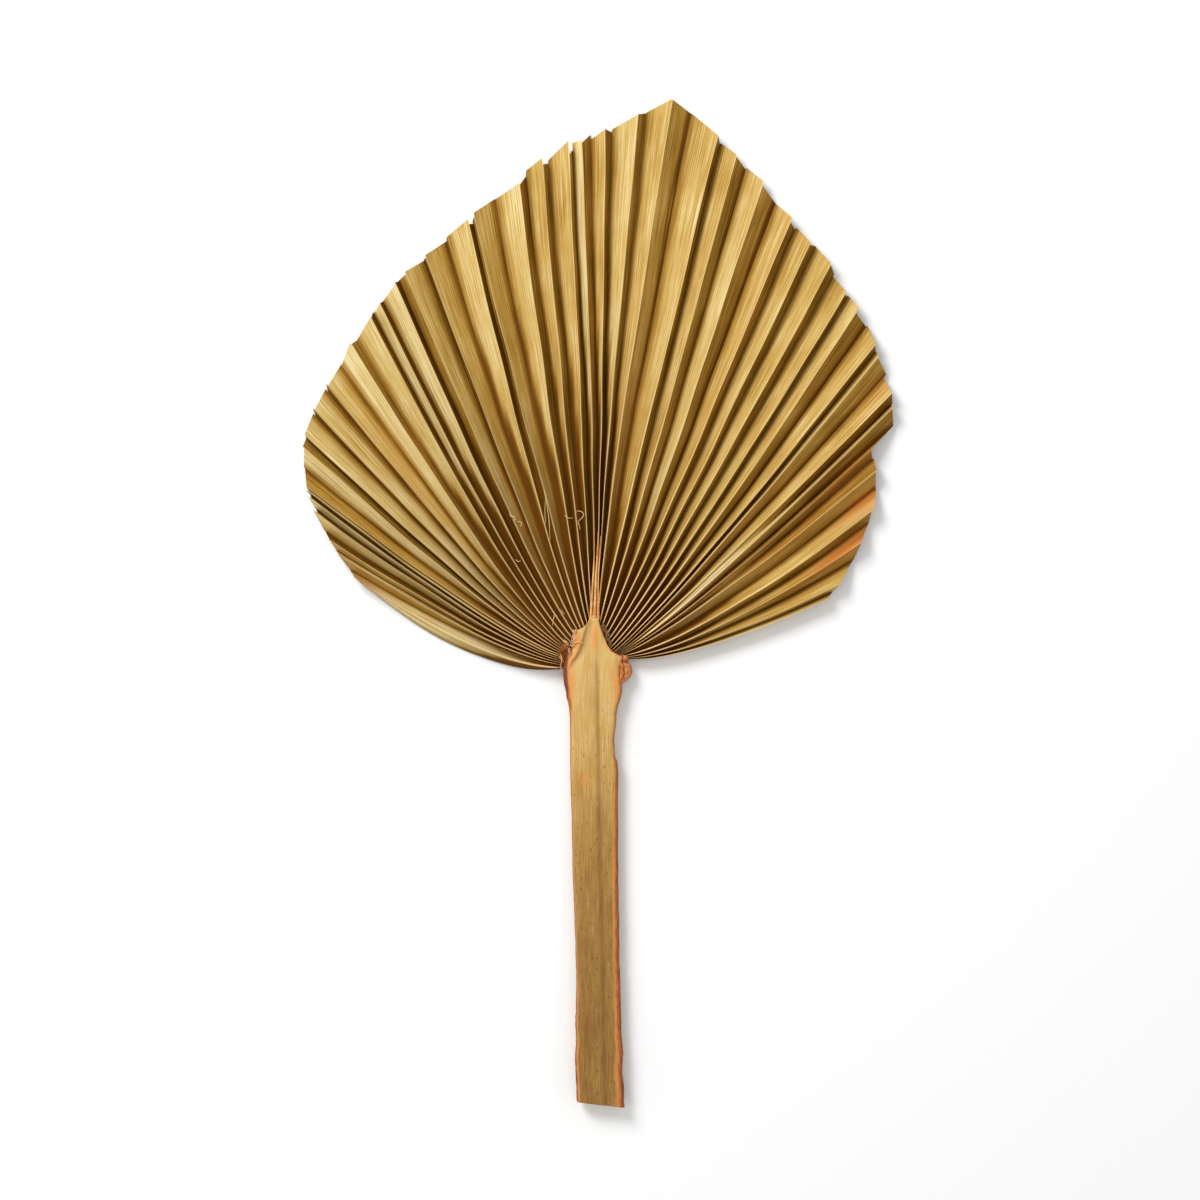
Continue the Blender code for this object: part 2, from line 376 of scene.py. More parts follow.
class Finish:
    """A material in the making."""

    def __init__(self, name):
        self.material = bpy.data.materials.new(name)
        self.material.use_nodes = True
        self.tree = self.material.node_tree
        self.tree.nodes.clear()

    def node(self, kind, settings=None, sockets=None, out=0):
        """Adds a node, sets it, fills or links its sockets, and gives back one of its outputs."""
        made = self.tree.nodes.new(kind)
        for key, value in (settings or {}).items():
            if key == "stops":
                ramp = made.color_ramp.elements
                while len(ramp) < len(value):
                    ramp.new(0.5)
                for stop, (position, colour) in zip(ramp, value):
                    stop.position = position
                    stop.color = colour
            else:
                setattr(made, key, value)
        for key, value in (sockets or {}).items():
            if isinstance(value, Number):
                self.tree.links.new(value.socket, made.inputs[key])
            else:
                made.inputs[key].default_value = value
        return None if out is None else Number(self, made.outputs[out])

    def carried(self, name):
        """A number that the mesh carries on its points."""
        settings = {"attribute_type": "GEOMETRY", "attribute_name": name}
        return self.node("ShaderNodeAttribute", settings, out=2)

    def grain(self, x, y, z, detail, rough):
        """Noise from 0 to 1 whose lumps are about one unit of x, y and z across."""
        place = self.node("ShaderNodeCombineXYZ", None, {"X": x, "Y": y, "Z": z})
        sockets = {"Vector": place, "Scale": 1.0, "Detail": detail, "Roughness": rough}
        return self.node("ShaderNodeTexNoise", None, sockets)

    def lumps(self, scale, detail):
        """Noise from 0 to 1 through the piece itself, with scale lumps to the metre."""
        place = self.node("ShaderNodeTexCoord", out=3)
        sockets = {"Vector": place, "Scale": scale, "Detail": detail}
        return self.node("ShaderNodeTexNoise", None, sockets)

    def step(self, value, low, high):
        """0 where value is below low, 1 above high, smooth between; low may be the larger."""
        settings = {"interpolation_type": "SMOOTHSTEP"}
        sockets = {"Value": value, "From Min": low, "From Max": high}
        return self.node("ShaderNodeMapRange", settings, sockets)

    def mix(self, share, first, second):
        """The colour that lies a share of the way from the first to the second."""
        sockets = {0: share, 6: first, 7: second}
        return self.node("ShaderNodeMix", {"data_type": "RGBA"}, sockets, out=2)

    def ramp(self, value, stops):
        """The colour at a value between stops of (value, colour)."""
        return self.node("ShaderNodeValToRGB", {"stops": stops}, {0: value})

    def surface(self, colour, roughness, height, depth, gloss):
        """Ends the material: colour, roughness, and fine relief of a depth in millimetres."""
        normal = self.node(
            "ShaderNodeBump", None, {"Height": height, "Distance": depth * MM, "Strength": 1.0}
        )
        sockets = {"Base Color": colour, "Roughness": roughness, "Normal": normal}
        shader = self.node(
            "ShaderNodeBsdfPrincipled", None, {**sockets, "Specular IOR Level": gloss}
        )
        self.node("ShaderNodeOutputMaterial", None, {"Surface": shader}, out=None)
        return self.material


def shade(red, green, blue):
    """A colour from its 0 to 255 values on a paint card."""

    def linear(value):
        value /= 255
        return value / 12.92 if value <= 0.04045 else ((value + 0.055) / 1.055) ** 2.4

    return (linear(red), linear(green), linear(blue), 1.0)


def leaf_tissue():
    """Dried leaf tissue: straw to cream, streaked along its veins, with painted shade deep in the
    folds, on the steep sides near the head and at the low ends of rises, and near-white ribs that
    are partly a painted highlight.
    """
    f = Finish("straw leaf tissue")
    vein, along, reach = f.carried("vein"), f.carried("along"), f.carried("reach")
    tone, rib, depth = f.carried("tone"), f.carried("rib"), f.carried("depth")
    orange, foot = f.carried("stain"), f.carried("foot")
    streaks = f.grain(vein * 1.7, along * 0.016, 0.0, 2.0, 0.6)
    threads = f.grain(vein * 4.6, along * 0.03, 5.0, 1.0, 0.5)
    clouds = f.grain(vein * 0.09, along * 0.035, 9.0, 3.0, 0.6)
    flecks = f.grain(vein * 1.6, along * 0.22, 14.0, 1.0, 0.5)
    pale = tone + (streaks - 0.5) * 0.75 + (threads - 0.5) * 1.0 + (clouds - 0.5) * 0.45
    inner = f.step(reach, 0.8, 0.15)
    # painted shade: the deeper a point lies in its fold, the browner it is drawn, most near the
    # head
    pale = pale - depth * (0.08 + 0.26 * inner)
    straw = f.ramp(pale, (
        (0.0, shade(94, 56, 4)), (0.3, shade(140, 100, 28)), (0.55, shade(178, 138, 62)),
        (0.8, shade(206, 177, 108)), (1.0, shade(230, 214, 164)),
    ))
    burnt = f.mix(f.step(streaks, 0.35, 0.65), shade(156, 78, 22), shade(204, 128, 56))
    colour = f.mix(orange * f.step(streaks + clouds + orange * 0.3, 0.8, 1.3), straw, burnt)
    fleck = f.step(flecks, 0.7, 0.78) * f.step(clouds, 0.45, 0.6)
    colour = f.mix(fleck * 0.45, colour, shade(120, 72, 34))
    # painted shade on the foot of each rise, in the shadow of the crest before it
    colour = f.mix(foot * (1 - rib) * 0.6, colour, shade(84, 48, 4))
    # painted shade on the steep sides of the folds near the head, away from the ribs
    wall_shade = inner * (1 - rib)
    colour = f.mix(wall_shade * 0.6, colour, shade(122, 76, 14))
    # the ribs are drawn near-white cream: partly the midribs' own pale colour, partly a painted
    # highlight on the crests, stronger near the head
    rib_pale_and_highlight = f.mix(inner, shade(242, 216, 150), shade(252, 222, 168))
    colour = f.mix(rib * (0.6 + 0.4 * inner), colour, rib_pale_and_highlight)
    roughness = 0.55 + 0.18 * streaks
    height = streaks * 0.6 + threads * 0.5
    return f.surface(colour, roughness, height, depth=0.16, gloss=0.1)


def valley_height(angle, away, t):
    """Height of the sheet's low side."""
    lift = VALLEY_TOP + HEAD_LIFT * math.exp(-((away / HEAD_LIFT_REACH) ** 2))
    return lift + RIM_CURL * min(t, 1) ** 3 * (0.5 - 0.5 * math.cos(math.radians(3 * angle)))


def pleat_depth(pleat, t):
    """Height of a crest over its valleys, a little uneven from pleat to pleat and along it."""
    ramp = min(t / FULL_DEPTH_FROM, 1.0)
    deep = DEPTH_AT_HEAD + (DEPTH - DEPTH_AT_HEAD) * ramp * (2 - ramp)
    return deep * (1 + 0.07 * wander(pleat * 1.9, t * 2, 4.0))


def rib_bead(across, t):
    """Height of a rib over the sheet, at a distance from its middle in half widths."""
    return blend(RIB_HEIGHT, ease(t, 0.2, 0.8)) * math.sqrt(max(0.0, 1 - across * across))


def height_share(panel, share, t, bow, open_out, lifted):
    """How high a point of a panel lies, from 0 in a full valley to 1 on the crest."""
    high = (1 - share) ** blend(WALL_HUG, open_out)
    high += bow * share * (1 - share) * ease(t, 0.4, 0.8)
    high = 1 - panel.sunk * (1 - high)
    return high + (1 - high) * lifted


def across_panel(panel, share, t):
    """The plan point a share of the way across a panel, at t along its folds."""
    ends = zip(along_fold(panel.crest, t), along_fold(panel.valley, t))
    return tuple(blend(pair, share) for pair in ends)


def column_share(column, edge):
    """Where a column stands, from 0 on the crest to 1 in the valley, if the rib ends at edge."""
    if column < len(RIB_COLUMNS):
        return edge * RIB_COLUMNS[column]
    return edge + (1 - edge) * PANEL_COLUMNS[column - len(RIB_COLUMNS)]


def tone_and_shaded_foot(panel, wide, share, across, t, open_out):
    """How pale a point of a panel is painted, and how much painted shade lies on the low end of a
    rise.
    """
    pale = blend((panel.crest_tone, panel.tone), ease(across, 0.75, 1.0))
    if panel.rises:
        cover = blend((NARROWEST_COVER, 1.0), open_out)
        foot = ease(share, cover - 0.16, cover + 0.1)
        return pale + (min(SHADED_FOOT_TONE, pale) - pale) * foot, foot
    pleat = blend((panel.crest.pleat, panel.valley.pleat), share)
    pale -= VALLEY_SHADE * ease(wide, *SHADED_WIDTHS) * ease(share, 0.76, 1.0)
    # painted light on falling panels towards the head
    painted_light = blend(FALL_PAINTED_LIGHT, ease(pleat, *RIGHT_LOBE))
    return pale + painted_light * ease(t, 0.8, 0.45) * ease(t, 0.1, 0.3), 0.0


def blade():
    upper, lower, carried = [], [], []
    rim_run = 0.0
    column_count = 0
    random.seed(20)
    for number, panel in enumerate(panels()):
        crest, valley = panel.crest, panel.valley
        wide = math.radians(abs(crest.angle - valley.angle)) * math.hypot(*crest.end)
        bow = random.uniform(*BOW)
        lean = random.uniform(*CUT_AT_CREST), random.uniform(*CUT_AT_VALLEY)
        stick_out = random.uniform(*STICK_OUT) if panel.rises else 0.0
        opening = between(OPENING, crest.pleat)
        middle = (crest.pleat + valley.pleat) / 2
        torn = max((deep for first, last, deep in TORN_RIM if first <= middle <= last), default=0.0)
        rag = wander(rim_run * 0.9, 0.0, 7.0) * (RAG + torn * 0.5)
        # a rise runs up to its crest and a fall down from it, and each leaves out the column that
        # the panel before it ended with
        if panel.rises:
            columns = range(VALLEY_COLUMN if number == 0 else VALLEY_COLUMN - 1, -1, -1)
        else:
            columns = range(1, VALLEY_COLUMN + 1)
        for column in columns:
            for row in range(ROWS):
                t = (row / (ROWS - 1)) ** ROW_CROWDING
                a, b = along_fold(crest, t), along_fold(valley, t)
                width = max(math.hypot(a[0] - b[0], a[1] - b[1]), 1e-4)
                half = min(blend(RIB_HALF_WIDTH, ease(t, 0.15, 0.8)), 0.45 * width)
                share = column_share(column, half / width)
                across = share * width / half
                # the cut panel ends a little before or past the rim, and its rows stretch with it
                cut = blend(lean, share) + rag + stick_out * (1 - share)
                x, y = across_panel(panel, share, t * (1 + cut / USUAL_RIM))
                away = math.hypot(x, y)
                pleat = blend((crest.pleat, valley.pleat), share)
                angle = blend((crest.angle, valley.angle), share)
                lifted = spots(LIFTED, pleat, t)
                open_out = ease(t, *opening)
                high = height_share(panel, share, t, bow, open_out, lifted)
                buckle = BUCKLE * wander(rim_run * 0.12, away / 9, 6.0) * ease(t, 0.3, 0.7)
                buckle *= math.sin(math.pi * share)
                z = valley_height(angle, away, t) + pleat_depth(crest.pleat, t) * high + buckle
                upper.append(placed(x, y, z + rib_bead(across, t)))
                lower.append(placed(x, y, z - SKIN - CREST_EXTRA * high))
                pale, foot = tone_and_shaded_foot(panel, wide, share, across, t, open_out)
                carried.append({
                    "vein": rim_run + share * wide * (-1 if panel.rises else 1),
                    "along": away,
                    "reach": t,
                    "tone": pale + (LIFTED_TONE - pale) * lifted,
                    "rib": max(0.0, min(1.0, (1.0 - across) * RIB_FADE)),
                    "depth": 1 - high,
                    "stain": spots(STAINS, pleat, t),
                    "foot": foot * (1 - lifted),
                })
            column_count += 1
        rim_run += wide
    faces = skin_faces(column_count, ROWS)
    made = piece(
        "pleated_blade", upper + lower, faces, leaf_tissue(), carried=carried * 2
    )
    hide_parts("blade")


blade()

# The stalk is a flat-topped woody rod, sawn off at its lower end. Its margins are rough and
# orange where the thorny skin was pared away, and it widens into a head whose pointed tongue
# stands over the start of the folds. It is one closed loft, carried on from the cut end.

# The stalk's stations: (y, left edge, right edge, underside, top).
STALK = (
    (-226.7, -8.7, 15.1, 0.0, 9.6), (-209.0, -9.0, 14.4, 0.0, 9.3), (-186.0, -9.0, 13.4, 0.0, 9.0),
    (-168.0, -8.9, 12.9, 0.0, 8.8), (-144.0, -9.4, 12.4, 0.0, 8.7), (-121.0, -10.3, 12.1, 0.0, 8.6),
    (-97.0, -10.9, 11.9, 0.0, 8.6), (-73.0, -11.4, 11.9, 0.0, 8.6), (-57.5, -11.9, 11.7, 0.0, 8.7),
    (-55.5, -11.9, 10.5, 0.0, 8.7), (-49.0, -11.9, 10.4, 0.0, 8.8), (-37.0, -11.9, 10.5, 0.0, 8.9),
    (-31.0, -12.4, 11.8, 0.0, 9.0), (-25.0, -13.6, 13.4, 0.1, 9.1), (-19.2, -14.7, 13.8, 0.2, 9.2),
    (-13.5, -15.0, 13.8, 0.4, 9.2), (-9.0, -14.8, 14.1, 0.6, 9.2), (-6.5, -13.9, 14.7, 0.8, 9.2),
    (-4.9, -12.7, 13.2, 0.9, 9.15), (-3.6, -12.0, 10.2, 0.9, 9.1), (-1.9, -11.5, 8.1, 1.0, 9.0),
    (2.5, -10.3, 5.7, 1.4, 8.8), (6.2, -9.8, 4.3, 1.8, 8.5), (7.4, -8.4, 3.9, 2.0, 8.3),
    (8.7, -5.6, 3.5, 2.2, 8.1), (11.0, -3.6, 2.9, 2.5, 7.8), (13.2, -2.4, 2.3, 2.8, 7.4),
    (15.2, -0.6, 0.9, 3.0, 6.8),
)
# The saw cut at the lower end: where it is, its slant and from where the stalk's rings take that
# on, the height of its middle, how rough it is, and the sizes of the rings that close it.
CUT_END = STALK[0][0]
CUT_SLANT = 0.12
SLANT_FROM = -215.0
CUT_MIDDLE = 5.2
CUT_ROUGHNESS = 0.22
CUT_RINGS = (0.96, 0.8, 0.6, 0.4, 0.2)
# The other rings, closer together in the head: (first y, step, count), and the points of each
# over the upper side and over the underside.
STALK_RINGS = ((CUT_END, 1.15, 167), (-34.7, 0.62, 81))
RING_UPPER, RING_UNDER = 64, 20
# The upper side of a section: (place between centre 0 and edge 1 or -1, depth below the top).
STALK_UPPER = (
    (-1.0, 3.0), (-0.97, 1.7), (-0.9, 0.75), (-0.75, 0.25), (-0.3, 0.0), (0.0, 0.05), (0.5, 0.1),
    (0.75, 0.15), (0.88, 0.45), (0.97, 1.6), (1.0, 3.0),
)
# The soft crease down the upper side, and the valley between the tongue and the torn rim on its
# left: (y, x). To the right of the crease the skin lies a little lower.
CREASE = ((-226, 5.9), (-144, 4.3), (-73, 2.6), (-22, 1.7), (-8, 1.4))
CREASE_DEPTH = 0.45
RIGHT_SIDE_DROP = 0.14
TORN_VALLEY = ((-15, -12.6), (-10, -11.2), (-4, -7.4), (2.5, -5.0), (11, -3.0))
TORN_VALLEY_DEPTH = 1.4
TORN_VALLEY_WIDTHS = (0.7, 2.3)
TORN_RIM_DROP = 0.3
# The ridge along the tongue's middle.
RIDGE_X = 0.8
RIDGE_HEIGHT = 0.5
# Where the edges lie between underside and top, and how square the underside is.
EDGE_HEIGHT = 0.6
UNDERSIDE_FULLNESS = 2.4
# How wide the orange margins are: (y, left, right).
MARGINS = (
    (-227, 2.0, 4.4), (-190, 1.3, 4.0), (-150, 0.9, 3.6), (-100, 0.8, 3.0), (-60, 0.8, 2.4),
    (-55, 0.7, 0.9), (-36, 1.2, 1.0), (-27, 2.8, 1.6), (-14, 3.4, 1.4), (-7, 2.6, 0.8),
    (0, 0.6, 0.3), (16, 0.3, 0.3),
)
# Dark red-brown places on the stalk: (x, y, spread in x, spread in y, strength).
SCORCHES = (
    (-15.0, -14, 1.9, 7, 1.0), (-13.9, -24, 1.5, 7, 1.0), (-14.5, -7, 2.0, 3.5, 0.9),
    (-9.2, -191, 0.8, 3.5, 0.9), (-9.0, -214, 0.9, 5.0, 1.0), (15.0, -220, 1.6, 8, 1.0),
    (-9.8, -132, 0.6, 3, 0.7), (-10.9, -100, 0.6, 5, 0.7), (-11.4, -88, 0.5, 2, 0.8),
    (-11.9, -63, 0.5, 5, 0.6), (12.2, -102, 0.6, 3, 0.7), (13.6, -186, 0.7, 4, 0.5),
    (0.6, 13.7, 2.4, 0.5, 1.0), (-2.8, -78, 0.8, 1.0, 0.6), (-1.8, -80, 0.5, 0.8, 0.7),
    (-1.6, -132, 0.9, 3.0, 0.5), (1.0, -178, 0.7, 2.0, 0.6), (-6.6, -40, 1.4, 2.6, 0.3),
    (13.9, -8.6, 1.2, 0.5, 0.7),
)
# Peach-orange places, given the same way.
BLUSHES = (
    (0.4, 5.0, 1.3, 4.5, 1.0), (0.8, 0.0, 1.1, 3.4, 0.8), (-1.5, -11.0, 1.6, 2.4, 0.5),
    (11.4, -21, 2.4, 8.0, 0.9), (-4.5, -66, 3.0, 4.0, 0.45), (-8.0, 3.0, 2.0, 4.0, 0.4),
    (0.5, -60, 1.5, 5.0, 0.25), (-11.4, -18, 1.8, 11.0, 0.8), (9.0, -12, 1.0, 4.0, 0.4),
    (-8.6, 1.0, 1.6, 4.5, 0.9), (-11.6, -5.5, 1.2, 3.0, 0.8), (1.9, 12.2, 0.6, 1.5, 0.9),
    (3.0, 8.4, 0.5, 2.6, 0.9), (4.4, 4.4, 0.5, 2.6, 0.9), (6.2, 0.8, 0.6, 2.4, 0.9),
    (8.4, -2.2, 1.2, 1.4, 0.8), (12.0, -4.8, 2.2, 0.8, 0.8),
)


def stalk_skin():
    """Skin of the stalk: straw with long grain and brown specks, orange on its rough margins, with
    painted shade in its crease and in the valley beside the tongue.
    """
    f = Finish("woody stalk skin")
    x, y = f.carried("across"), f.carried("down")
    margin, under, cut = f.carried("margin"), f.carried("under"), f.carried("cut")
    scorch, blush, hollow = f.carried("scorch"), f.carried("blush"), f.carried("hollow")
    grain = f.grain(x * 1.7, y * 0.05, 0.0, 3.0, 0.6)
    threads = f.grain(x * 4.2, y * 0.09, 6.0, 1.0, 0.5)
    clouds = f.grain(x * 0.16, y * 0.05, 12.0, 3.0, 0.6)
    rough = f.grain(x * 1.1, y * 0.2, 18.0, 4.0, 0.65)
    head = f.step(y, -110.0, -12.0)
    upper = f.step(y, -200.0, -60.0)
    pale = 0.28 + upper * 0.24 + head * 0.4
    pale = pale + (grain - 0.5) * 0.6 + (threads - 0.5) * 0.6 + (clouds - 0.5) * 0.6
    straw = f.ramp(pale, (
        (0.0, shade(112, 72, 22)), (0.25, shade(142, 102, 40)), (0.5, shade(166, 126, 60)),
        (0.75, shade(194, 154, 82)), (1.0, shade(216, 180, 112)),
    ))
    olive = f.step(clouds, 0.5, 0.72) * (1 - head * 0.6)
    straw = f.mix(olive * 0.22, straw, shade(138, 112, 48))
    specks = f.step(f.grain(x * 0.9, y * 0.36, 24.0, 1.0, 0.5) + clouds * 0.25, 0.77, 0.85)
    straw = f.mix(specks * (0.75 - 0.45 * head), straw, shade(122, 62, 26))
    scuffs = f.step(f.grain(x * 0.5 + y * 0.05, y * 0.16, 30.0, 4.0, 0.7), 0.62, 0.72)
    straw = f.mix(scuffs * 0.5, straw, shade(222, 196, 140))
    peach = f.mix(rough, shade(212, 122, 44), shade(232, 160, 84))
    straw = f.mix(blush * f.step(rough + grain, 0.6, 1.05), straw, peach)
    bark = f.ramp(margin + (rough - 0.5) * 1.3, (
        (0.0, shade(116, 54, 14)), (0.4, shade(182, 98, 32)), (0.85, shade(210, 146, 76)),
    ))
    edge = 1 - f.step(margin + (rough - 0.5) * 0.9, 0.6, 1.15)
    colour = f.mix(edge, straw, bark)
    # painted shade in the crease and in the valley left of the tongue
    colour = f.mix(hollow * 0.6, colour, shade(122, 84, 30))
    burn = f.step(scorch + (rough - 0.5) * 0.5, 0.35, 0.75)
    colour = f.mix(burn * 0.85, colour, shade(104, 42, 14))
    below = f.mix(grain, shade(150, 116, 62), shade(184, 150, 88))
    colour = f.mix(under * 0.8, colour, below)
    place = f.node("ShaderNodeTexCoord", out=3)
    pores = f.node("ShaderNodeTexVoronoi", {"feature": "F1"}, {"Vector": place, "Scale": 1400.0})
    wood = f.mix(f.step(pores, 0.28, 0.42), shade(96, 60, 26), shade(206, 178, 124))
    colour = f.mix(cut, colour, wood)
    roughness = 0.48 + 0.2 * rough
    height = grain * 0.6 + threads * 0.4 + edge * rough * 1.6 + pores * cut * 0.5
    return f.surface(colour, roughness, height, depth=0.22, gloss=0.4)


def stalk_outline(y):
    """The left edge, right edge, underside and top at y; its edges are ragged where pared."""
    left, right, under, top = (
        smooth([(row[0], row[k]) for row in STALK], y) for k in (1, 2, 3, 4)
    )
    near_head = ease(y, -36, -20) * ease(y, 6, -4)
    notch = ease(y, -60, -54) * ease(y, -30, -36)
    ragged_left = 0.14 + 0.3 * ease(y, -150, -200) + 0.3 * near_head
    ragged_right = 0.16 + 0.4 * ease(y, -180, -215) + 0.3 * near_head + 0.25 * notch
    left += ragged_left * (wander(y * 0.12, 0, 11) + 0.4 * wander(y * 0.6, 0, 12))
    right += ragged_right * (wander(y * 0.12, 0, 13) + 0.4 * wander(y * 0.7, 0, 14))
    return left, right, under, top


def stalk_drop(x, y, place, high):
    """How far the upper side lies below the station's top, and how much painted shade its crease
    and the valley by the tongue get there.
    """
    fall = smooth(STALK_UPPER, place) * min(1.0, high / 6.5)
    fall *= 1 - 0.65 * ease(place, 0.6, 0.8) * ease(y, -8, 0)
    line = between(CREASE, y)[0]
    crease = math.exp(-(((x - line) / 1.1) ** 2)) * ease(y, 0, -14)
    right_side = ease(x, line - 0.4, line + 0.8) * ease(x, line + 9, line + 4)
    valley_x = smooth(TORN_VALLEY, y)
    wide = blend(TORN_VALLEY_WIDTHS, ease(x, valley_x - 0.4, valley_x + 0.4))
    valley = math.exp(-(((x - valley_x) / wide) ** 2)) * ease(y, -15, -5) * ease(y, 13.5, 10)
    torn_rim = ease(x, valley_x, valley_x - 0.9) * ease(y, -9, -2)
    ridge = math.exp(-(((x - RIDGE_X) / 2.2) ** 2)) * ease(y, -10, 4)
    fall += CREASE_DEPTH * crease + RIGHT_SIDE_DROP * right_side - RIDGE_HEIGHT * ridge
    fall += TORN_VALLEY_DEPTH * valley + TORN_RIM_DROP * torn_rim
    fall += 0.06 * wander(x * 1.4, y * 0.05, 15) + 0.05 * wander(x * 0.5, y * 0.2, 16)
    return fall, min(1.0, 0.85 * crease + 0.9 * valley)


def stalk():
    points, carried = [], []

    def add(x, y, z, margin, under=0.0, cut=0.0, hollow=0.0):
        points.append(placed(x, y, z))
        carried.append({
            "across": x, "down": y, "margin": margin, "under": under, "cut": cut,
            "scorch": spots(SCORCHES, x, y), "blush": spots(BLUSHES, x, y), "hollow": hollow,
        })

    stations = [first + step * k for first, step, count in STALK_RINGS for k in range(count)]
    for y in stations:
        left, right, under, top = stalk_outline(y)
        centre, half = (left + right) / 2, (right - left) / 2
        edge = under + EDGE_HEIGHT * (top - under)
        margin_left, margin_right = between(MARGINS, y)
        slant = CUT_SLANT * ease(y, SLANT_FROM, CUT_END)
        for k in range(RING_UPPER + 1):
            place = math.cos(math.pi * k / RING_UPPER)
            place = math.copysign(abs(place) ** 0.85, place)
            x = centre + half * place
            fall, hollow = stalk_drop(x, y, place, top - under)
            margin = min((x - left) / margin_left, (right - x) / margin_right)
            add(x, y - slant * x, max(top - fall, edge), margin, hollow=hollow)
        for k in range(1, RING_UNDER):
            place = -math.cos(math.pi * k / RING_UNDER)
            depth = (1 - abs(place) ** UNDERSIDE_FULLNESS) ** (1 / UNDERSIDE_FULLNESS)
            x = centre + half * place
            z = edge - (edge - under) * depth + 0.05 * wander(x * 1.2, y * 0.05, 17) * depth
            add(x, y - slant * x, max(z, 0.02), 0.9 + 2 * depth, under=min(1, depth * 1.5))
    ring = RING_UPPER + RING_UNDER
    rings = [list(range(r * ring, (r + 1) * ring)) for r in range(len(stations))]
    cut_x = sum(stalk_outline(CUT_END)[:2]) / 2
    for shrink in CUT_RINGS:
        start = len(points)
        for k in range(ring):
            x = cut_x + (carried[k]["across"] - cut_x) * shrink
            z = CUT_MIDDLE + (points[k][2] / MM - CUT_MIDDLE) * shrink
            y = CUT_END - CUT_SLANT * x + CUT_ROUGHNESS * wander(x * 0.8, z * 0.8, 18)
            add(x, y, z, 2.0, cut=1.0)
        rings.insert(0, list(range(start, start + ring)))
    faces = []
    for near, far in zip(rings, rings[1:]):
        for k in range(ring):
            j = (k + 1) % ring
            faces.append((near[k], near[j], far[j], far[k]))
    faces.append(tuple(reversed(rings[0])))
    faces.append(tuple(rings[-1]))
    made = piece(
        "stalk_and_tongue", points, faces, stalk_skin(), 70, carried=carried
    )
    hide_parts("stalk")


stalk()

# The ribs on either side of the tongue's tip run together into one short stiff spine, which
# stands over the middle folds and sinks back into them. It is made as three joined strands.

# Each strand goes through knots of (x, y, height, radius).
SPINE_STRANDS = (
    ((-1.5, 12.8, 6.9, 0.8), (-1.4, 18, 6.8, 0.68), (-1.0, 25, 6.6, 0.5), (-0.5, 34, 6.5, 0.36),
     (0.1, 44, 6.3, 0.28), (0.2, 54, 5.7, 0.12)),
    ((0.2, 13.0, 7.1, 0.85), (0.4, 18, 7.0, 0.75), (0.6, 25, 6.8, 0.6), (0.9, 34, 6.6, 0.42),
     (1.5, 44, 6.3, 0.28), (2.0, 56, 5.7, 0.12)),
    ((1.9, 12.6, 6.9, 0.75), (2.0, 18, 6.8, 0.62), (2.0, 25, 6.6, 0.5), (2.1, 34, 6.4, 0.38),
     (2.7, 44, 6.2, 0.28), (3.2, 54, 5.7, 0.12)),
)


def tissue_shreds(name, tints):
    """Torn or fibrous leaf tissue: two tints that change along and between its strands."""
    f = Finish(name)
    lumps = f.lumps(420.0, 3.0)
    patches = f.lumps(90.0, 2.0)
    colour = f.mix(f.step(lumps * 0.5 + patches * 0.5, 0.38, 0.62), *tints)
    return f.surface(colour, 0.5 + 0.3 * lumps, lumps, depth=0.25, gloss=0.2)


def curve_through(knots, steps):
    """Points along a smooth curve through the knots, each number of a knot on its own."""
    tracks = [list(enumerate(numbers)) for numbers in zip(*knots)]
    last = len(knots) - 1
    return [[smooth(track, last * k / steps) for track in tracks] for k in range(steps + 1)]


def strand(points, faces, knots, steps, sides):
    """Adds one closed tapering strand along knots of (x, y, height, radius)."""
    line = curve_through(knots, steps)
    first = len(points)
    for k, (x, y, z, radius) in enumerate(line):
        ahead, back = line[min(k + 1, steps)], line[max(k - 1, 0)]
        way = Vector((ahead[0] - back[0], ahead[1] - back[1], ahead[2] - back[2])).normalized()
        side = way.cross(Vector((0, 0, 1)))
        side = side.normalized() if side.length > 0.01 else Vector((1, 0, 0))
        up = side.cross(way)
        for s in range(sides):
            turn = 2 * math.pi * s / sides
            out = side * (radius * math.cos(turn)) + up * (radius * math.sin(turn))
            points.append(placed(x + out.x, y + out.y, max(z + out.z, 0.05)))
    for k in range(steps):
        for s in range(sides):
            a = first + k * sides + s
            b = first + k * sides + (s + 1) % sides
            faces.append((a, b, b + sides, a + sides))
    faces.append(tuple(first + s for s in reversed(range(sides))))
    faces.append(tuple(first + steps * sides + s for s in range(sides)))


def spine():
    points, faces = [], []
    for knots in SPINE_STRANDS:
        strand(points, faces, knots, 40, 12)
    finish = tissue_shreds("spine tissue", (shade(206, 138, 74), shade(236, 190, 122)))
    piece("middle_spine", points, faces, finish, 80)


spine()

# At the stalk's right shoulder a scrap of brown skin has dried into a curled lobe. It is one
# thin closed sheet that rises off the shoulder and rolls over towards the table.

# Where the lobe starts and ends along the shoulder, and where its root lies inside it.
LOBE_ALONG = (-18.8, -4.8)
LOBE_INNER = 12.0
# How far the lobe reaches out, from its lower end to its upper: (share of the way up, reach).
LOBE_REACH = (
    (0, 1.6), (0.1, 3.6), (0.25, 5.8), (0.45, 6.8), (0.65, 6.2), (0.75, 4.6), (0.8, 5.2),
    (0.93, 5.6), (1, 3.4),
)
# Heights: of its root, how much it rises from there, how far its edge rolls down again, and its
# highest point. A fold runs along its inner side and a waist nips it near its upper end.
LOBE_ROOT = 7.4
LOBE_RISE = 1.9
LOBE_ROLL = 4.0
LOBE_TOP = 9.55
LOBE_FOLD = 0.7
LOBE_WAIST = 0.8
LOBE_THICKNESS = 0.8
LOBE_COLUMNS, LOBE_ROWS = 34, 40


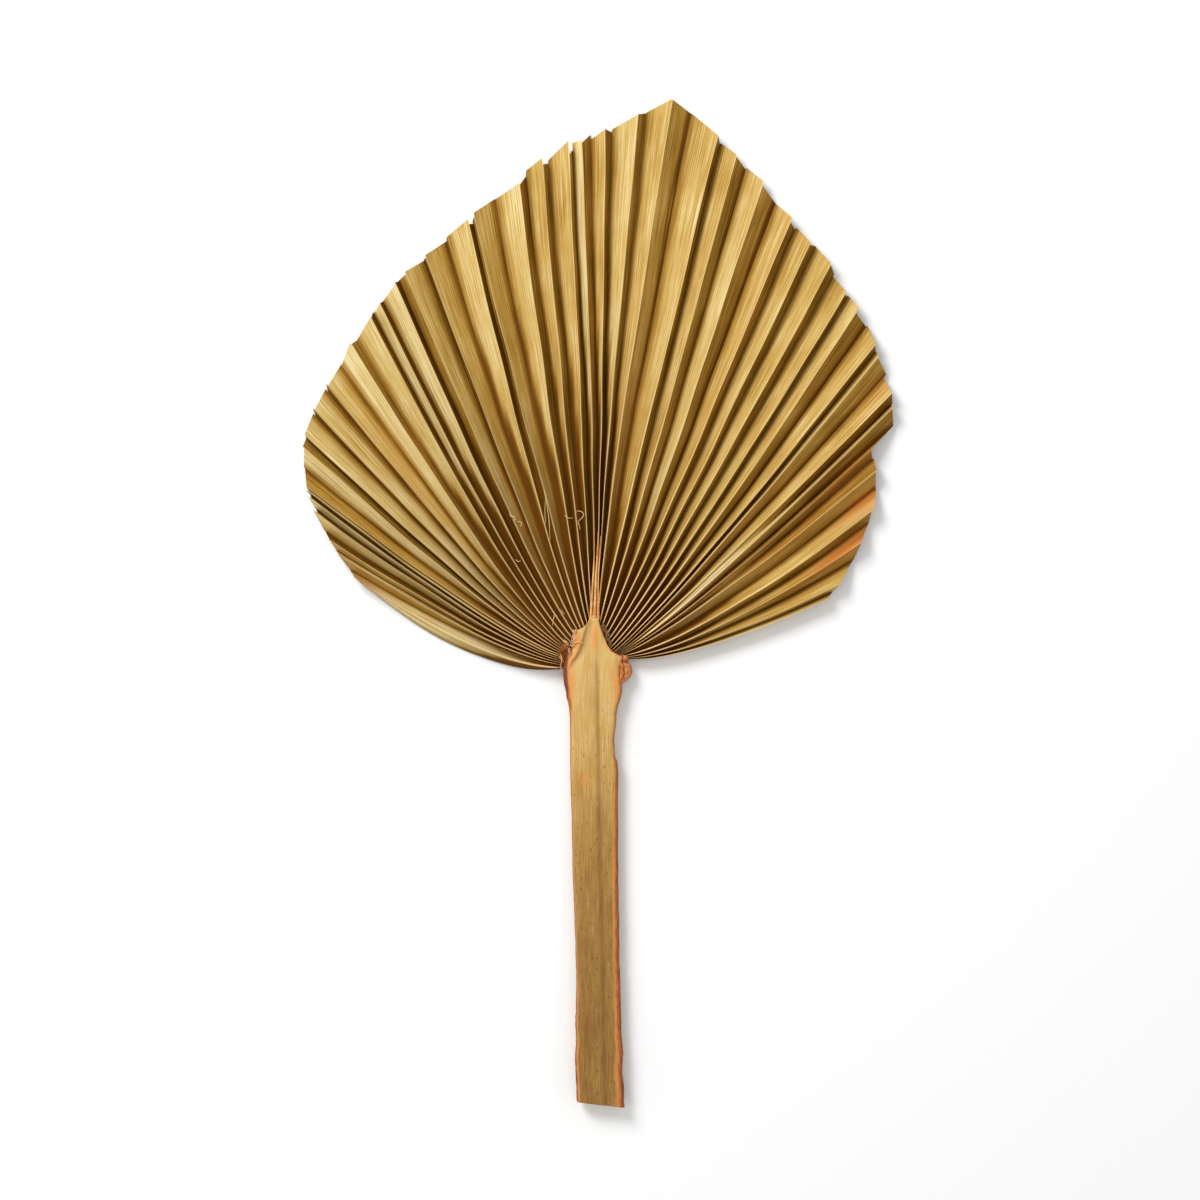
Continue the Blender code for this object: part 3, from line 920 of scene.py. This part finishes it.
def curled_skin():
    """Dried brown skin, with painted shade in its creases and along its rolled-down edge."""
    f = Finish("curled brown skin")
    lumps = f.lumps(500.0, 4.0)
    tan = f.mix(f.step(lumps, 0.35, 0.65), shade(182, 106, 50), shade(222, 154, 92))
    # painted shade in the lobe's fold and waist and along its rolled-down edge
    colour = f.mix(f.carried("crease") * 0.85, tan, shade(118, 54, 22))
    return f.surface(colour, 0.5 + 0.3 * lumps, lumps, depth=0.25, gloss=0.3)


def curled_lobe():
    upper, lower, carried = [], [], []
    for c in range(LOBE_COLUMNS):
        v = c / (LOBE_COLUMNS - 1)
        for r in range(LOBE_ROWS):
            u = r / (LOBE_ROWS - 1)
            reach = smooth(LOBE_REACH, u) + 0.2 * wander(u * 9, 0, 21)
            x = LOBE_INNER + 0.5 * wander(u * 4, 0, 23) * (1 - v) + reach * v
            y = blend(LOBE_ALONG, u) - 0.8 * v * (1 - u)
            fold = math.exp(-(((v - 0.42 - 0.05 * wander(u * 5, 0, 24)) / 0.08) ** 2))
            waist = math.exp(-(((u - 0.76) / 0.05) ** 2)) * ease(v, 0.2, 0.5)
            z = LOBE_ROOT + LOBE_RISE * ease(v, 0.05, 0.34) - LOBE_ROLL * v**3.5
            z += 0.2 * wander(v * 3, u * 6, 22) - LOBE_FOLD * fold - LOBE_WAIST * waist
            z = min(z, LOBE_TOP)
            upper.append(placed(x, y, z))
            lower.append(placed(x - 0.35 * v, y, z - LOBE_THICKNESS))
            # crease holds the painted shade of the fold, the waist and the rolled-down edge
            carried.append({"crease": min(1.0, fold + 0.8 * waist + ease(v, 0.86, 1.0) * 0.8)})
    faces = skin_faces(LOBE_COLUMNS, LOBE_ROWS)
    piece(
        "curled_lobe", upper + lower, faces, curled_skin(), 60, carried=carried * 2
    )


curled_lobe()

# Where the folds join the head the tissue has torn into short fibres: a brown mat in the left
# notch, pale curls on the torn rim beside the tongue, and grey-brown fluff on its right.

# Each tuft is (x, y, height, spread in x, spread in y, heading, strands, length, radius).
BROWN_TUFTS = (
    (-14.4, -3.9, 6.4, 1.5, 2.3, 165, 80, 3.0, 0.15),
    (-13.4, -7.0, 7.0, 1.0, 2.2, 120, 50, 2.8, 0.16),
    (-15.8, -8.5, 5.8, 0.8, 2.2, 190, 36, 2.8, 0.16),
    (-12.6, -1.6, 6.8, 0.9, 1.6, 140, 30, 2.8, 0.14),
)
PALE_TUFTS = (
    (-9.4, 4.6, 8.1, 0.5, 2.0, 100, 26, 2.0, 0.13),
    (-10.2, 0.4, 8.1, 0.6, 1.6, 110, 24, 2.2, 0.13),
    (-12.4, -5.0, 8.0, 0.6, 1.8, 80, 20, 2.4, 0.14),
    (-13.6, 0.2, 6.4, 1.4, 1.0, 150, 14, 3.0, 0.12),
)
GREY_TUFTS = (
    (4.4, 8.6, 6.0, 0.6, 2.2, 60, 60, 1.8, 0.14),
    (6.0, 4.2, 6.2, 0.7, 2.4, 50, 70, 1.8, 0.14),
    (7.6, 0.4, 6.4, 0.6, 1.4, 40, 40, 1.6, 0.13),
)
# Longer single curls, through knots of (x, y, height, radius).
PALE_CURLS = (
    ((-10.0, 1.4, 8.9, 0.15), (-8.0, 1.6, 9.2, 0.24), (-6.4, 1.4, 9.2, 0.22),
     (-5.2, 0.7, 9.1, 0.1)),
    ((-17.2, -5.6, 7.2, 0.15), (-16.1, -7.6, 7.6, 0.24), (-16.4, -10.6, 7.0, 0.24),
     (-15.8, -13.2, 6.2, 0.12)),
    ((-16.6, -4.6, 7.8, 0.12), (-15.9, -6.4, 8.2, 0.25), (-15.0, -8.4, 7.9, 0.12)),
)
# A strand's heading strays from its tuft's by up to this many degrees.
STRAY = 55


def tufts(name, groups, curls, tints):
    points, faces = [], []
    for x, y, z, wide, long, heading, count, length, radius in groups:
        for _ in range(count):
            at_x = x + random.uniform(-1, 1) * wide
            at_y = y + random.uniform(-1, 1) * long
            at_z = z + random.uniform(-0.5, 0.5)
            turn = math.radians(heading + random.uniform(-STRAY, STRAY))
            run = length * random.uniform(0.5, 1.1)
            bend = random.uniform(-0.35, 0.35) * run
            dx, dy = math.cos(turn), math.sin(turn)
            knots = (
                (at_x, at_y, at_z, radius),
                (at_x + dx * run / 2 - dy * bend, at_y + dy * run / 2 + dx * bend,
                 at_z + random.uniform(0.0, 0.5), radius * 0.9),
                (at_x + dx * run, at_y + dy * run, at_z - random.uniform(0.2, 1.0), radius * 0.3),
            )
            strand(points, faces, knots, 6, 5)
    for knots in curls:
        strand(points, faces, knots, 18, 6)
    finish = tissue_shreds(name.replace("_", " "), tints)
    piece(name, points, faces, finish, 80)


random.seed(7)
tufts("brown_fibres", BROWN_TUFTS, (), (shade(120, 62, 22), shade(186, 112, 52)))
tufts("pale_fibres", PALE_TUFTS, PALE_CURLS, (shade(206, 150, 98), shade(240, 200, 150)))
tufts("grey_fibres", GREY_TUFTS, (), (shade(92, 64, 38), shade(150, 116, 78)))

# A few hair-thin fibres of dry tissue have split off the ribs. They still hang on by an end and
# curl above the folds, and each is made as one strand that tapers at both ends.

# Each fibre goes through points of (x, y, height).
LOOSE_FIBRES = (
    ((-8.8, 66.2, 7.2), (-6.6, 66.1, 7.8), (-5.2, 64.6, 8.0), (-6.2, 62.6, 7.8), (-8.3, 60.9, 7.2)),
    ((-7.9, 61.2, 7.4), (-7.4, 59.4, 7.6), (-6.9, 57.2, 7.2)),
    ((-14.6, 64.2, 7.0), (-12.9, 62.9, 7.5), (-10.4, 62.8, 7.2)),
    ((-41.9, 66.0, 7.0), (-41.2, 63.8, 7.5), (-39.6, 63.6, 7.7), (-38.9, 62.2, 7.3),
     (-40.0, 61.6, 7.0)),
    ((-37.9, 61.2, 7.2), (-36.4, 60.9, 7.6), (-35.8, 59.8, 7.6), (-36.6, 58.6, 7.1)),
    ((-38.9, 42.4, 7.0), (-37.6, 41.3, 7.4), (-36.4, 41.8, 7.0)),
    ((-19.9, 16.2, 7.2), (-19.6, 15.0, 7.6), (-20.2, 12.4, 7.4), (-20.6, 9.6, 6.8)),
    ((-19.7, 15.6, 7.4), (-18.6, 14.6, 7.4), (-17.9, 13.8, 6.9)),
    ((-16.4, 17.6, 7.0), (-15.4, 16.0, 7.3), (-14.4, 15.2, 6.9)),
    ((-24.9, 77.2, 7.3), (-23.6, 71.0, 7.6), (-22.4, 63.0, 7.2), (-21.7, 52.0, 6.4)),
    ((-24.0, 73.0, 7.3), (-24.3, 66.0, 6.8), (-23.9, 60.0, 5.8)),
)
FIBRE_RADIUS = 0.15


def loose_fibres():
    points, faces = [], []
    for path in LOOSE_FIBRES:
        ends = path[0], path[-1]
        knots = [(*at, FIBRE_RADIUS * (0.5 if at in ends else 1.0)) for at in path]
        strand(points, faces, knots, 26, 6)
    finish = tissue_shreds("dry fibre", (shade(212, 176, 112), shade(244, 216, 156)))
    piece("loose_fibres", points, faces, finish, 80)


loose_fibres()

# The table is a plain pale sheet under one broad soft window light from the upper left, with a
# weaker fill all round. The camera looks straight down on the leaf.

TABLE_HALF = 3.0
CAMERA_PLACE = (0.0003, 0.0007, 1.655)
LENS = 100.0
SENSOR = 36.0
# The window light: degrees round from the leaf's length and up from the table, metres, and watts.
WINDOW_AZIMUTH = -40.0
WINDOW_HEIGHT = 40.0
WINDOW_DISTANCE = 2.0
WINDOW_SIZE = 0.8
WINDOW_POWER = 31.0
WINDOW_COLOUR = (1.0, 0.985, 0.96)
FILL = 0.68
FILL_COLOUR = (1.0, 0.985, 0.95, 1.0)


def table():
    f = Finish("pale table")
    clouds = f.lumps(3.0, 2.0)
    colour = f.mix(clouds, shade(248, 250, 254), shade(250, 252, 255))
    mesh = bpy.data.meshes.new("table")
    corners = [(x * TABLE_HALF, y * TABLE_HALF, 0) for x, y in ((-1, -1), (1, -1), (1, 1), (-1, 1))]
    mesh.from_pydata(corners, [], [(0, 1, 2, 3)])
    mesh.materials.append(f.surface(colour, 0.8, clouds, depth=0.02, gloss=0.2))
    made = bpy.data.objects.new("table", mesh)
    bpy.context.scene.collection.objects.link(made)


def light_and_camera():
    scene = bpy.context.scene
    lamp = bpy.data.lights.new("window", "AREA")
    lamp.shape = "SQUARE"
    lamp.size = WINDOW_SIZE
    lamp.energy = WINDOW_POWER
    lamp.color = WINDOW_COLOUR
    window = bpy.data.objects.new("window", lamp)
    turn, lift = math.radians(WINDOW_AZIMUTH), math.radians(WINDOW_HEIGHT)
    aim = Vector((
        math.sin(turn) * math.cos(lift), math.cos(turn) * math.cos(lift), math.sin(lift)
    ))
    window.location = aim * WINDOW_DISTANCE
    window.rotation_mode = "QUATERNION"
    window.rotation_quaternion = aim.to_track_quat("Z", "Y")
    scene.collection.objects.link(window)
    scene.world = bpy.data.worlds.new("room")
    scene.world.use_nodes = True
    sky = scene.world.node_tree.nodes["Background"]
    sky.inputs["Color"].default_value = FILL_COLOUR
    sky.inputs["Strength"].default_value = FILL
    lens = bpy.data.cameras.new("camera")
    lens.lens = LENS
    lens.sensor_width = SENSOR
    camera = bpy.data.objects.new("camera", lens)
    camera.location = CAMERA_PLACE
    scene.collection.objects.link(camera)
    scene.camera = camera
    scene.view_settings.view_transform = "Standard"


table()
light_and_camera()
